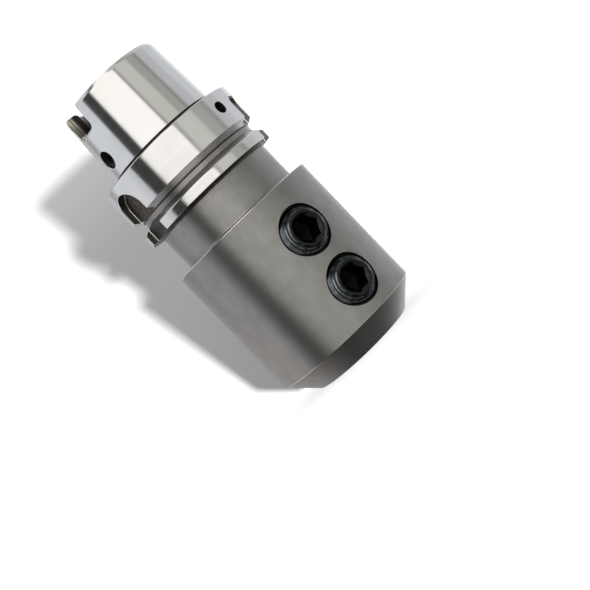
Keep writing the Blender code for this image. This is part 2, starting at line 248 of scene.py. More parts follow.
def map_range(tree, value, low, high, to_low=0.0, to_high=1.0, smooth=False):
    """A Map Range node on a socket, and its output."""
    node = add_node(tree, "ShaderNodeMapRange")
    node.interpolation_type = "SMOOTHSTEP" if smooth else "LINEAR"
    fill(node, From_Min=low, From_Max=high, To_Min=to_low, To_Max=to_high)
    tree.links.new(value, node.inputs["Value"])
    return node.outputs["Result"]


# %% The world, and which way a reflection looks
world = bpy.data.worlds.new("studio")
bpy.context.scene.world = world
world.use_nodes = True
sky = world.node_tree
sky.nodes.clear()

where = add_node(sky, "ShaderNodeTexCoord").outputs["Generated"]
turned = fill(add_node(sky, "ShaderNodeMapping"), Rotation=(0, 0, -CAMERA_AZIMUTH))
split = add_node(sky, "ShaderNodeSeparateXYZ")
sky.links.new(where, turned.inputs["Vector"])
sky.links.new(turned.outputs["Vector"], split.inputs["Vector"])
rightward, backward, upward = split.outputs
azimuth = compute(sky, "ARCTAN2", rightward, compute(sky, "MULTIPLY", backward, -1.0))
round_share = map_range(sky, azimuth, -math.pi, math.pi)
print("directions are turned by", round(math.degrees(CAMERA_AZIMUTH), 1), "degrees")

# %% The two sets of panels
horizons = []
for panels in (LOWER_PANELS, UPPER_PANELS):
    stops = []
    for low, high, light in panels:
        stops.append(((low + 180) / 360, light))
        stops.append(((high + 180) / 360, light))
    ramp = add_node(sky, "ShaderNodeValToRGB")
    ramp_stops(ramp, stops)
    sky.links.new(round_share, ramp.inputs["Fac"])
    horizons.append(ramp.outputs["Color"])
    print(len(stops), "stops on a ramp")
set_share = map_range(sky, upward, LOWER_SET_AT, UPPER_SET_AT, smooth=True)
both_sets = mix(sky, set_share, *horizons)

# %% The dark table
# Below the horizon the light falls off to the dark table, later on the left
TABLE_TONE = 0.125
TABLE_FROM, TABLE_TO = -0.97, -0.30
LEFT_LIFT = 0.3

leftward = compute(sky, "MINIMUM", rightward, 0.0)
raised = compute(sky, "MULTIPLY_ADD", leftward, -LEFT_LIFT, upward)
falloff = map_range(sky, raised, TABLE_FROM, TABLE_TO, TABLE_TONE, 1.0, smooth=True)
dimmed = mix(sky, 1.0, both_sets, falloff, "MULTIPLY")
print("the table is at", TABLE_TONE, "of the panels' light")

# %% Who sees what
# Reflections see the panels, matt surfaces see an even light, and the camera sees white
EVEN_LIGHT = 0.45

rays = add_node(sky, "ShaderNodeLightPath")
lit = mix(sky, rays.outputs["Is Glossy Ray"], grey(EVEN_LIGHT), dimmed)
seen = mix(sky, rays.outputs["Is Camera Ray"], lit, grey(1))
background = join(sky, "ShaderNodeBackground", seen)
sky.links.new(background, add_node(sky, "ShaderNodeOutputWorld").inputs["Surface"])
print("the world has", len(sky.nodes), "nodes")

# %% [markdown]
# ## Paper and shadow
#
# Behind the holder in the photograph is white paper with one soft grey shadow on it, down
# and to the left. One low lamp from the right, with a small soft edge, throws it. The
# paper leans back, so the shadow stands farther from the holder at the shank than at the
# nose. The paper only shows from its front, so that a view from behind isn't blocked, and
# it ends just past the shadow, where it is as white as the background.

# %% A sheet of paper
GLOW_HEIGHTS = 0.095, 0.165
PAPER_WHITE = 0.8


def paper(name, glow, corners, top_glow=None):
    """A one-sided white sheet: part glow that only the camera sees, part matt.

    Its shadows are weaker where the glow is stronger, up the sheet.
    """
    mesh = bpy.data.meshes.new(name)
    mesh.from_pydata(corners, [], [tuple(range(len(corners)))])
    sheet = bpy.data.objects.new(name, mesh)
    bpy.context.scene.collection.objects.link(sheet)
    material = bpy.data.materials.new(name)
    material.use_nodes = True
    tree = material.node_tree
    tree.nodes.clear()
    strength = glow
    if top_glow:
        split = add_node(tree, "ShaderNodeSeparateXYZ")
        tree.links.new(add_node(tree, "ShaderNodeTexCoord").outputs["Object"], split.inputs["Vector"])
        strength = map_range(tree, split.outputs["Z"], *GLOW_HEIGHTS, glow, top_glow, smooth=True)
    matt = join(tree, "ShaderNodeBsdfDiffuse", grey(PAPER_WHITE))
    light = join(tree, "ShaderNodeEmission", grey(1), strength)
    both = join(tree, "ShaderNodeAddShader", matt, light)
    clear = join(tree, "ShaderNodeBsdfTransparent")
    behind = add_node(tree, "ShaderNodeNewGeometry").outputs["Backfacing"]
    front = join(tree, "ShaderNodeMixShader", behind, both, clear)
    tree.links.new(front, add_node(tree, "ShaderNodeOutputMaterial").inputs["Surface"])
    mesh.materials.append(material)
    sheet.visible_glossy = False
    sheet.visible_diffuse = False
    sheet.visible_shadow = False
    return sheet


# %% The floor and the leaning paper
FLOOR_REACH = 3.0
FLOOR_GLOW = 0.72
PAPER_DISTANCE = 0.0245
PAPER_LEAN = math.radians(42.3)
PAPER_LEFT, PAPER_RIGHT, PAPER_RISE = -0.16, 0.10, 0.19
PAPER_GLOW, PAPER_TOP_GLOW = 0.03, 0.16
SQUARE = (-1, -1), (1, -1), (1, 1), (-1, 1)

paper("floor", FLOOR_GLOW, [(x * FLOOR_REACH, y * FLOOR_REACH, 0) for x, y in SQUARE])
top_distance = PAPER_DISTANCE + PAPER_RISE * math.tan(PAPER_LEAN)
card_corners = [
    (PAPER_LEFT, PAPER_DISTANCE, 0),
    (PAPER_RIGHT, PAPER_DISTANCE, 0),
    (PAPER_RIGHT, top_distance, PAPER_RISE),
    (PAPER_LEFT, top_distance, PAPER_RISE),
]
card = paper("leaning_paper", PAPER_GLOW, card_corners, PAPER_TOP_GLOW)
card.matrix_world = round_z(CAMERA_AZIMUTH)
print("paper leans", round(math.degrees(PAPER_LEAN), 1), "degrees")

# %% The lamp
LAMP_TURN = math.radians(17.1)
LAMP_DROP = math.radians(4.65)
LAMP_STRENGTH = 5.0
LAMP_SOFTNESS = math.radians(4.5)

lamp_data = bpy.data.lights.new("low_lamp", "SUN")
lamp_data.energy = LAMP_STRENGTH
lamp_data.angle = LAMP_SOFTNESS
lamp = bpy.data.objects.new("low_lamp", lamp_data)
bpy.context.scene.collection.objects.link(lamp)
lamp_tilt = Matrix.Rotation(math.pi / 2 + LAMP_DROP, 4, "X")
lamp.matrix_world = round_z(CAMERA_AZIMUTH + LAMP_TURN) @ lamp_tilt
lamp.visible_glossy = False
bpy.context.scene.view_settings.view_transform = "Standard"
print("lamp strength", lamp_data.energy)

# %% [markdown]
# ## Steel finishes
#
# The holder has seven finishes. The shank and the flange's lands are ground: bright, with
# fine lines that run round the axis and smear reflections along it. The neck and the body
# are a darker warm grey satin, and the groove's flanks lie between the two. Inside the
# bores and in the square keyway the steel is dull and painted darker as shade. The undercuts
# and the round keyway are painted brown-black as shade, and the drive slots' walls are milled
# bright, painted dark as shade towards the bore. The tapped holes are painted near-black as shade.
#
# An image of scratches could be wrapped round the shape. A noise squashed along the
# axis does the same without one: each grain becomes a short line round the holder, at
# any distance. Anisotropy does the smearing that lines too fine to draw would do.

# %% Helpers for finishes
def new_steel(name, colour, roughness, anisotropy=0.0):
    """A metal Principled material, and its node tree and shader."""
    material = bpy.data.materials.new(name)
    material.use_nodes = True
    tree = material.node_tree
    shader = tree.nodes["Principled BSDF"]
    fill(shader, Base_Color=(*colour, 1), Metallic=1.0, Roughness=roughness, Anisotropic=anisotropy)
    if anisotropy:
        shader.inputs["Anisotropic Rotation"].default_value = 0.25
        tangent = add_node(tree, "ShaderNodeTangent", direction_type="RADIAL", axis="Z")
        tree.links.new(tangent.outputs["Tangent"], shader.inputs["Tangent"])
    return material, tree, shader


def noise(tree, scale, detail=2.0, stretch=(1, 1, 1)):
    """Noise on the object's own coordinates, finer along an axis by its stretch."""
    place = add_node(tree, "ShaderNodeTexCoord").outputs["Object"]
    mapping = fill(add_node(tree, "ShaderNodeMapping"), Scale=stretch)
    texture = fill(add_node(tree, "ShaderNodeTexNoise"), Scale=scale, Detail=detail)
    tree.links.new(place, mapping.inputs["Vector"])
    tree.links.new(mapping.outputs["Vector"], texture.inputs["Vector"])
    return texture.outputs["Fac"]


def mottle(tree, shader, texture, spread, first, second):
    """The base colour turns from the first to the second as a texture rises through a spread."""
    factor = map_range(tree, texture, *spread) if spread else texture
    colour = mix(tree, factor, (*first, 1), (*second, 1))
    tree.links.new(colour, shader.inputs["Base Color"])


def vary_roughness(tree, shader, texture, spread, first, second):
    """The roughness goes from the first to the second as a texture rises through a spread."""
    tree.links.new(map_range(tree, texture, *spread, first, second), shader.inputs["Roughness"])


def add_bump(tree, shader, heights, distance, strength):
    """A bump from a socket, after any bump that is already there."""
    bump = fill(add_node(tree, "ShaderNodeBump"), Strength=strength, Distance=distance)
    tree.links.new(heights, bump.inputs["Height"])
    before = shader.inputs["Normal"].links
    if before:
        tree.links.new(before[0].from_socket, bump.inputs["Normal"])
    tree.links.new(bump.outputs["Normal"], shader.inputs["Normal"])


# %% Ground steel
def ground_steel():
    """Bright ground steel: fine lines round the axis, faint broad bands, a warm cast."""
    material, tree, shader = new_steel("ground_steel", (0.80, 0.79, 0.78), 0.17, 0.95)
    lines = noise(tree, 160, 3, (1, 1, 60))
    bands = noise(tree, 60, 2, (0.3, 0.3, 9))
    clouds = noise(tree, 90, 3)
    mottle(tree, shader, clouds, (0.35, 0.65), (0.79, 0.78, 0.765), (0.82, 0.815, 0.81))
    vary_roughness(tree, shader, bands, (0.3, 0.7), 0.15, 0.19)
    add_bump(tree, shader, lines, 0.00002, 0.08)
    return material


# %% Satin steel
def satin_steel():
    """Hardened steel with a warm grey satin skin: faint turning lines and soft mottling."""
    material, tree, shader = new_steel("satin_steel", (0.32, 0.314, 0.30), 0.36, 0.3)
    lines = noise(tree, 220, 4, (1, 1, 14))
    grain = noise(tree, 2600, 3)
    clouds = noise(tree, 240, 5, (1, 1, 0.8))
    mottle(tree, shader, clouds, (0.36, 0.64), (0.302, 0.296, 0.286), (0.336, 0.330, 0.315))
    vary_roughness(tree, shader, clouds, (0.36, 0.64), 0.36, 0.33)
    add_bump(tree, shader, lines, 0.00005, 0.12)
    add_bump(tree, shader, grain, 0.00006, 0.25)
    add_bump(tree, shader, clouds, 0.0001, 0.03)
    return material


# %% Dull steel inside the holes, painted darker as shade
def shaded_inside_steel():
    """Bored and milled steel that little light reaches: painted darker as shade, with coarser tool
    lines.
    """
    material, tree, shader = new_steel("shaded_inside_steel", (0.18, 0.173, 0.163), 0.42)
    marks = noise(tree, 500, 3, (1, 1, 8))
    mottle(tree, shader, marks, (0.3, 0.7), (0.15, 0.143, 0.133), (0.21, 0.203, 0.193))
    add_bump(tree, shader, marks, 0.00004, 0.2)
    return material


# %% Painted shade in corners and undercuts
def recess_shade_steel():
    """A brown-black tone painted as the shade in corners, undercuts and keyway walls."""
    material, tree, shader = new_steel("recess_shade_steel", (0.085, 0.078, 0.07), 0.45)
    patches = noise(tree, 700, 4)
    mottle(tree, shader, patches, (0.35, 0.7), (0.06, 0.055, 0.05), (0.13, 0.118, 0.105))
    vary_roughness(tree, shader, patches, (0.3, 0.7), 0.5, 0.4)
    add_bump(tree, shader, patches, 0.00004, 0.25)
    return material


# %% Milled walls
INNER_SHADE_ENDS, BRIGHT_FROM = 0.0192, 0.0205


def milled_steel():
    """The drive slots' walls: brown-edged tool lines, bright outside and painted dark as shade inside.
    """
    material, tree, shader = new_steel("milled_steel", (0.6, 0.56, 0.51), 0.26)
    lines = noise(tree, 800, 3, (1, 1, 0.03))
    mottle(tree, shader, lines, (0.4, 0.6), (0.34, 0.3, 0.26), (0.95, 0.91, 0.84))
    # Nearer the axis the wall is painted dark as shade
    place = add_node(tree, "ShaderNodeTexCoord").outputs["Object"]
    flat = join(tree, "ShaderNodeVectorMath", place, (1, 1, 0), operation="MULTIPLY")
    reach = add_node(tree, "ShaderNodeVectorMath", operation="LENGTH")
    tree.links.new(flat, reach.inputs[0])
    outer = map_range(tree, reach.outputs["Value"], INNER_SHADE_ENDS, BRIGHT_FROM, smooth=True)
    bright = shader.inputs["Base Color"].links[0].from_socket
    inner_shaded = mix(tree, outer, (0.05, 0.043, 0.036, 1), bright)
    tree.links.new(inner_shaded, shader.inputs["Base Color"])
    add_bump(tree, shader, lines, 0.00004, 0.2)
    return material


# %% Groove flanks and tapped holes
def groove_steel():
    """The groove's flanks: fine turned, between the ground and the satin steel."""
    material, tree, shader = new_steel("groove_steel", (0.54, 0.525, 0.51), 0.3, 0.4)
    lines = noise(tree, 200, 3, (1, 1, 30))
    mottle(tree, shader, lines, (0.3, 0.7), (0.49, 0.477, 0.463), (0.59, 0.575, 0.56))
    add_bump(tree, shader, lines, 0.00003, 0.08)
    return material


def tapped_shade_black():
    """The tapped holes' walls: painted near-black as the shade deep in the holes."""
    material, tree, shader = new_steel("tapped_shade_black", (0.02, 0.02, 0.021), 0.4)
    patches = noise(tree, 700, 3)
    mottle(tree, shader, patches, None, (0.012, 0.012, 0.013), (0.032, 0.031, 0.03))
    return material


# %% The holder's finishes
# A face's finish is its place in this list
GROUND, SATIN, SHADED_INSIDE, RECESS_SHADE, MILLED, FLANK, TAPPED_SHADE = range(7)
holder_finishes = [
    ground_steel(),
    satin_steel(),
    shaded_inside_steel(),
    recess_shade_steel(),
    milled_steel(),
    groove_steel(),
    tapped_shade_black(),
]
print("holder finishes:", [material.name for material in holder_finishes])

# %% [markdown]
# ## Turned shapes
#
# A lathe makes the holder, and the mesh is made the same way: an outline of radii and
# heights, swung round the axis. A real edge is never quite sharp. Each corner of the
# outline gets a small arc, and those thin arcs catch the light as bright edges do on the
# real part. A Bevel modifier could round the edges, but it fails where many cuts meet.

# %% Softened outlines
def softened(corners, steps=4):
    """Points and finishes of a closed outline of (radius, height, rounding, finish) corners.

    The finish is that of the stretch after the corner. An outer edge's arc is ground.
    """
    points, finishes = [], []
    count = len(corners)
    for index, (radius, height, rounding, finish) in enumerate(corners):
        corner = Vector((radius, height))
        before = Vector(corners[index - 1][:2]) - corner
        after = Vector(corners[(index + 1) % count][:2]) - corner
        if not rounding:
            points.append(tuple(corner))
            finishes.append(finish)
            continue
        before.normalize()
        after.normalize()
        half = before.angle(after) / 2
        middle = corner + (before + after).normalized() * rounding / math.sin(half)
        first = corner + before * rounding / math.tan(half) - middle
        last = corner + after * rounding / math.tan(half) - middle
        start = math.atan2(first.y, first.x)
        sweep = math.remainder(math.atan2(last.y, last.x) - start, 2 * math.pi)
        for step in range(steps + 1):
            angle = start + sweep * step / steps
            x, y = middle.x + rounding * math.cos(angle), middle.y + rounding * math.sin(angle)
            points.append((x, y))
            outer_edge = sweep > 0 and finish in (GROUND, SATIN, FLANK)
            finishes.append(GROUND if outer_edge and step < steps else finish)
    return points, finishes


# %% Swinging an outline round the axis
def make_object(name, vertices, faces, finishes, materials):
    """A mesh object with a finish for each face."""
    mesh = bpy.data.meshes.new(name)
    mesh.from_pydata(vertices, [], faces)
    for material in materials:
        mesh.materials.append(material)
    mesh.polygons.foreach_set("material_index", finishes)
    mesh.update()
    obj = bpy.data.objects.new(name, mesh)
    bpy.context.scene.collection.objects.link(obj)
    return obj


def turn(name, outline, sides, materials):
    """A closed outline swung round Z. The outline runs with the solid on its left."""
    points, finishes = outline
    count = len(points)
    vertices = []
    for side in range(sides):
        angle = 2 * math.pi * side / sides
        vertices += [(r * math.cos(angle), r * math.sin(angle), z) for r, z in points]
    faces, face_finishes = [], []
    for side in range(sides):
        here, there = side * count, (side + 1) % sides * count
        for low in range(count):
            high = (low + 1) % count
            faces.append((here + low, there + low, there + high, here + high))
            face_finishes.append(finishes[low])
    return make_object(name, vertices, faces, face_finishes, materials)

# %% [markdown]
# The outline goes up the outside from the tool bore's mouth, over the shank's end and down
# the inside again.

# %% The holder's outline
EDGE = 0.00025
FILLET = 0.0012
RECESS_TOP = CONTACT_FACE + 0.01813
END_CHAMFER = 0.0014


def holder_outline():
    """The corners of the holder's section."""
    flank = (FLANGE_RADIUS - GROOVE_RADIUS) * math.tan(math.radians(30))
    relief = shank_radius(0.0015) - 0.0006
    end = SHANK_END - END_CHAMFER
    outside = [
        (TOOL_BORE_RADIUS + 0.0006, 0, 0.0001, SATIN),
        (BODY_RADIUS - NOSE_CHAMFER, 0, EDGE, SATIN),
        (BODY_RADIUS, NOSE_CHAMFER, EDGE, SATIN),
        (BODY_RADIUS, BODY_LENGTH, 0.0003, SATIN),
        (NECK_RADIUS, BODY_LENGTH, FILLET, SATIN),
        # From here the fillet under the flange is painted dark as shade, as are the groove's upper
        # corner and the taper's relief
        (NECK_RADIUS, FLANGE_LOW, FILLET, RECESS_SHADE),
        (FLANGE_RADIUS, FLANGE_LOW, EDGE, GROUND),
        (FLANGE_RADIUS, GROOVE_LOW, 0.0009, FLANK),
        (GROOVE_RADIUS, GROOVE_LOW + flank, 0.0004, SATIN),
        (GROOVE_RADIUS, GROOVE_HIGH - flank - 0.0002, 0.0002, RECESS_SHADE),
        (GROOVE_RADIUS + 0.0005, GROOVE_HIGH - flank + 0.00029, 0, FLANK),
        (FLANGE_RADIUS, GROOVE_HIGH, EDGE, GROUND),
        (FLANGE_RADIUS, CONTACT_FACE, 0.0005, GROUND),
        (shank_radius(0) + 0.0003, CONTACT_FACE, 0.0001, RECESS_SHADE),
        (relief, CONTACT_FACE - 0.0003, 0.0003, RECESS_SHADE),
        (relief, CONTACT_FACE + 0.0014, 0.0003, RECESS_SHADE),
        (shank_radius(0.0020), CONTACT_FACE + 0.0020, 0.0001, GROUND),
        (shank_radius(end - CONTACT_FACE), end, 0.0006, GROUND),
        (shank_radius(end - CONTACT_FACE) - 0.0007, SHANK_END, 0.0003, GROUND),
    ]
    # Most of the inner surfaces are painted darker as shade
    inside = [
        (SHANK_BORE_RADIUS + 0.001, SHANK_END, 0.0002, GROUND),
        (SHANK_BORE_RADIUS, SHANK_END - 0.001, 0.0003, SHADED_INSIDE),
        (SHANK_BORE_RADIUS, RECESS_TOP + 0.003 * math.sqrt(3), 0.0005, GROUND),
        (RECESS_RADIUS, RECESS_TOP, 0.0005, SHADED_INSIDE),
        (RECESS_RADIUS, HOLLOW_FLOOR, 0.0008, SHADED_INSIDE),
        (0.0098, HOLLOW_FLOOR, 0.0001, SHADED_INSIDE),
        (0.0093, HOLLOW_FLOOR - 0.0005, 0.0001, SHADED_INSIDE),
        (0.0093, NUT_LOW - 0.0003, 0, SHADED_INSIDE),
        (POCKET_RADIUS, NUT_LOW - 0.0003, 0, SHADED_INSIDE),
        (POCKET_RADIUS, POCKET_FLOOR, 0, SHADED_INSIDE),
        (COOLANT_PASSAGE_RADIUS, POCKET_FLOOR, 0, SHADED_INSIDE),
        (COOLANT_PASSAGE_RADIUS, TOOL_BORE_DEPTH, 0, SHADED_INSIDE),
        (TOOL_BORE_RADIUS, TOOL_BORE_DEPTH, 0, SHADED_INSIDE),
        (TOOL_BORE_RADIUS, 0.0006, 0, SATIN),
    ]
    return outside + inside


HOLDER_SIDES = 288
holder = turn("turned_holder", softened(holder_outline()), HOLDER_SIDES, holder_finishes)
print("holder blank:", len(holder.data.polygons), "faces")

# %% [markdown]
# ## Drilling and milling
#
# Every hole and slot is cut with a Boolean, as the real ones are cut with a drill or a
# mill after turning. A plain cutter leaves a knife edge. These cutters flare at their
# mouth along the curved surface that they come through, so each hole gets an even, lightly
# rounded rim. Faces made by a cutter keep the cutter's finish. Where two cuts meet, the
# Boolean can leave edges far too short to see, so those are closed up at the end.

# %% Cutters with a flared mouth
FILLET_STEPS = 0, 45
RIM_STEPS = 0, 30, 60


def facing(azimuth, height=0.0):
    """Local Z points out from the axis at an azimuth in degrees, and local Y points up."""
    lift = Matrix.Translation((0, 0, height))
    return lift @ round_z(math.radians(azimuth)) @ Matrix.Rotation(math.pi / 2, 4, "X")


def grown(outline, offset):
    """An outline of (x, y) points moved outwards by an offset."""
    moved = []
    for index, point in enumerate(outline):
        before = Vector(outline[index - 1]) - Vector(outline[(index + 1) % len(outline)])
        outwards = Vector((-before.y, before.x)).normalized()
        moved.append((point[0] + outwards.x * offset, point[1] + outwards.y * offset))
    return moved


def loft(name, rings, finishes, materials, place, floor_finish=0):
    """A closed solid through rings of points, capped at both ends."""
    count = len(rings[0])
    vertices = [point for ring in rings for point in ring]
    faces, face_finishes = [], []
    for level in range(len(rings) - 1):
        for index in range(count):
            after = (index + 1) % count
            low, high = level * count, (level + 1) * count
            faces.append((low + index, low + after, high + after, high + index))
            face_finishes.append(finishes[level])
    faces.append(tuple(reversed(range(count))))
    faces.append(tuple(range(len(vertices) - count, len(vertices))))
    face_finishes += [floor_finish, finishes[-1]]
    solid = make_object(name, vertices, faces, face_finishes, materials)
    solid.matrix_world = place
    return solid


def flared_cutter(name, outline, start, surface, rim, place, wall=RECESS_SHADE, lip=GROUND, fillet=0.0005):
    """A cutter from a distance out through a round surface, with a rounded rim.

    A fillet, where it has one, catches light along the foot of the wall.
    """
    rings, finishes = [], []
    for turn_step in FILLET_STEPS if fillet else ():
        angle = math.radians(turn_step)
        ring = grown(outline, fillet * (math.sin(angle) - 1))
        rings.append([(x, y, start + fillet * (1 - math.cos(angle))) for x, y in ring])
        finishes.append(GROUND)
    rings.append([(x, y, start + fillet) for x, y in outline])
    finishes.append(wall)
    for turn_step in RIM_STEPS:
        angle = math.radians(turn_step)
        offset, sink = rim * (1 - math.cos(angle)), rim * (1 - math.sin(angle))
        ring = grown(outline, offset)
        rings.append([(x, y, math.sqrt((surface - sink) ** 2 - x * x)) for x, y in ring])
        finishes.append(lip)
    rings.append([(x, y, surface + 0.001) for x, y in grown(outline, rim / 2 + 0.002)])
    return loft(name, rings, finishes, holder_finishes, place, wall)


# %% Outlines of holes and slots
def circle(radius, sides=64):
    """A round outline, counter-clockwise."""
    turns = (2 * math.pi * side / sides for side in range(sides))
    return [(radius * math.cos(angle), radius * math.sin(angle)) for angle in turns]


def corner_arc(centre, radius, start, end, steps=10):
    """Points on an arc between two angles in degrees."""
    angles = (math.radians(start + (end - start) * step / steps) for step in range(steps + 1))
    return [(centre[0] + radius * math.cos(a), centre[1] + radius * math.sin(a)) for a in angles]


def filled(outline, gap=0.0006):
    """Adds points along long straight stretches, so that they can follow a curve."""
    points = []
    for start, end in zip(outline, outline[1:] + outline[:1]):
        parts = max(1, math.ceil(math.dist(start, end) / gap))
        for part in range(parts):
            share = part / parts
            x, y = (a + (b - a) * share for a, b in zip(start, end))
            points.append((x, y))
    return points


def keyway(width, top, corner):
    """A flange keyway: open at the bottom, with round upper corners."""
    half, low = width / 2, FLANGE_LOW - 0.003
    right = corner_arc((half - corner, top - corner), corner, 0, 90)
    left = corner_arc((corner - half, top - corner), corner, 90, 180)
    return filled([(-half, low), (half, low)] + right + left[1 if corner >= half else 0:])


def drive_slot(depth, half=0.0069, corner=0.002):
    """A slot in the shank's end: open at the top, with round lower corners."""
    floor_height, top = SHANK_END - depth, SHANK_END + 0.003
    left = corner_arc((corner - half, floor_height + corner), corner, 180, 270)
    right = corner_arc((half - corner, floor_height + corner), corner, 270, 360)
    return filled(left + right + [(half, top), (-half, top)])


# %% The thread's section
# The depth at parts of a turn, from 0 at the crest to 1 at the root
THREAD_SHAPE = [(0.0, 0.0), (0.16, 0.0), (0.46, 1.0), (0.70, 1.0), (1.0, 0.0)]


def thread_depth(turns):
    """How deep the thread is at a number of turns."""
    turns %= 1.0
    for (low, depth), (high, next_depth) in zip(THREAD_SHAPE, THREAD_SHAPE[1:]):
        if turns <= high:
            return depth + (next_depth - depth) * (turns - low) / (high - low)
    return 0.0


print("depth halfway down the flank:", round(thread_depth(0.31), 3))

# %% Threaded rods
THREAD_ROWS = (0.0, 0.16, 0.31, 0.46, 0.70, 0.85)
CREST_ROWS = 2
RIDGE_FADE = 0.0004
MERGE_DISTANCE = 2e-6


def threaded_rod(name, radii, ends, limit, finishes, materials, place, sides=96, ridge=0.0):
    """A rod along Z with a right-hand thread, its radius held under limit(height).

    Where the limit cuts the thread off, a ridge of it goes on and fades out at the end.
    The first finish is the thread's, and the second is that of its rubbed crests.
    """
    (crest, root), (low, high) = radii, ends
    first, last = math.floor(low / THREAD_PITCH) - 2, math.ceil(high / THREAD_PITCH) + 1
    levels = [turn_count + part for turn_count in range(first, last) for part in THREAD_ROWS]
    rings = []
    for level in levels:
        depth = thread_depth(level)
        ring = []
        for side in range(sides):
            z = min(max((level + side / sides) * THREAD_PITCH, low), high)
            fade = min(1.0, (z - low) / RIDGE_FADE, (high - z) / RIDGE_FADE)
            r = min(crest - (crest - root) * depth, limit(z) - ridge * depth * fade)
            angle = 2 * math.pi * side / sides
            ring.append((r * math.cos(angle), r * math.sin(angle), z))
        rings.append(ring)
    vertices = [point for ring in rings for point in ring]
    faces, face_finishes = [], []
    for level in range(len(rings) - 1):
        here, there = level * sides, (level + 1) * sides
        for side in range(sides - 1):
            faces.append((here + side, here + side + 1, there + side + 1, there + side))
        # The last stretch closes on the same thread one turn later
        later = here + len(THREAD_ROWS) * sides
        if later + sides < len(vertices):
            faces.append((here + sides - 1, later, later + sides, there + sides - 1))
        on_crest = level % len(THREAD_ROWS) < CREST_ROWS
        rubbed = on_crest and levels[level] * THREAD_PITCH < high - RIDGE_FADE
        new_faces = len(faces) - len(face_finishes)
        face_finishes += [finishes[1] if rubbed else finishes[0]] * new_faces
    rod = make_object(name, vertices, faces, face_finishes, materials)
    close_rod(rod.data, finishes[0])
    rod.matrix_world = place
    return rod


def close_rod(mesh, cap_finish):
    """Merges the points that the ends' limits brought together and caps both ends."""
    bm = bmesh.new()
    bm.from_mesh(mesh)
    bmesh.ops.remove_doubles(bm, verts=bm.verts, dist=MERGE_DISTANCE)
    bmesh.ops.dissolve_degenerate(bm, edges=bm.edges, dist=MERGE_DISTANCE)
    loose = [vert for vert in bm.verts if not vert.link_faces]
    bmesh.ops.delete(bm, geom=loose, context="VERTS")
    for cap in bmesh.ops.holes_fill(bm, edges=bm.edges)["faces"]:
        cap.material_index = cap_finish
    bmesh.ops.recalc_face_normals(bm, faces=bm.faces)
    finish_mesh(bm, mesh)


def finish_mesh(bm, mesh):
    """Writes an edited mesh back and says whether it is closed."""
    open_edges = sum(1 for edge in bm.edges if len(edge.link_faces) != 2)
    bm.to_mesh(mesh)
    bm.free()
    print(mesh.name, "open edges:", open_edges)


# %% Keyways and drive slots
DRIVE_AZIMUTH = -86
SECOND_KEYWAY_AZIMUTH = 54
SLOT_START = 0.011
SLOT_SURFACE = shank_radius(0.027)
RIM = 0.0003


def slot_cutters():
    """The two keyways of the flange and the two drive slots of the shank."""
    rear = DRIVE_AZIMUTH + 180
    round_keyway = keyway(0.016, CONTACT_FACE - 0.004, 0.008)
    square_keyway = keyway(0.018, CONTACT_FACE - 0.0046, 0.0035)
    flange, shank = (GROOVE_RADIUS, FLANGE_RADIUS), (SLOT_START, SLOT_SURFACE)
    slots = [
        ("first_keyway", round_keyway, flange, DRIVE_AZIMUTH, RECESS_SHADE),
        ("second_keyway", square_keyway, flange, SECOND_KEYWAY_AZIMUTH, SHADED_INSIDE),
        ("drive_slot", drive_slot(0.0106), shank, DRIVE_AZIMUTH, MILLED),
        ("shallow_slot", drive_slot(0.0086), shank, rear, MILLED),
    ]
    cutters = []
    for name, outline, (start, surface), azimuth, wall in slots:
        cutters.append(flared_cutter(name, outline, start, surface, RIM, facing(azimuth), wall))
    return cutters


# %% Plain holes
FLANGE_HOLE_AZIMUTH = 22
FLANGE_HOLE_HEIGHT = CONTACT_FACE - 0.0067
FLANGE_HOLE_RADIUS = 0.0025
FLANGE_HOLE_FLOOR = 0.0255
ACCESS_HEIGHT = CONTACT_FACE + 0.0093
ACCESS_RADIUS = 0.0038
ACCESS_START = 0.015


def hole_cutters():
    """The small hole in the flange, and the two access holes in the shank."""
    outline, place = circle(FLANGE_HOLE_RADIUS), facing(FLANGE_HOLE_AZIMUTH, FLANGE_HOLE_HEIGHT)
    cutters = [flared_cutter("flange_hole", outline, FLANGE_HOLE_FLOOR, FLANGE_RADIUS, RIM, place)]
    taper = shank_radius(ACCESS_HEIGHT - CONTACT_FACE)
    for name, azimuth in (("access_hole", DRIVE_AZIMUTH), ("rear_access_hole", DRIVE_AZIMUTH + 180)):
        outline, place = circle(ACCESS_RADIUS), facing(azimuth, ACCESS_HEIGHT)
        cutters.append(flared_cutter(name, outline, ACCESS_START, taper, RIM, place))
    return cutters


# %% Tapped holes
HOLE_CREST, HOLE_ROOT = 0.0101, 0.0095
HOLE_LOW, HOLE_HIGH = 0.002, 0.0310
MOUTH_RADIUS = 0.0103
MOUTH_START = 0.0302
MOUTH_RIM = 0.0002


def screw_cutters():
    """A tapped hole, open into the tool bore, and its plain mouth for each clamp screw."""

    def limit(z):
        return HOLE_CREST if HOLE_LOW < z < HOLE_HIGH else HOLE_ROOT

    # The tapped holes' threads and mouth walls are painted near-black as shade
    radii, ends, finishes = (HOLE_CREST, HOLE_ROOT), (HOLE_LOW, HOLE_HIGH), (TAPPED_SHADE, TAPPED_SHADE)
    cutters = []
    for side, height in SCREW_HEIGHTS.items():
        name, place = f"{side}_tapped_hole", facing(0, height)
        cutters.append(threaded_rod(name, radii, ends, limit, finishes, holder_finishes, place))
        mouth = f"{side}_hole_mouth", circle(MOUTH_RADIUS), MOUTH_START, BODY_RADIUS, MOUTH_RIM
        cutters.append(flared_cutter(*mouth, place, TAPPED_SHADE, SATIN, 0))
    return cutters


# %% Coolant passages
CHANNEL_AZIMUTHS = {"left": -60, "right": 120}
CHANNEL_RADIUS = 0.0015
CHANNEL_REACH = 0.017
FEED_HEIGHT = 0.064
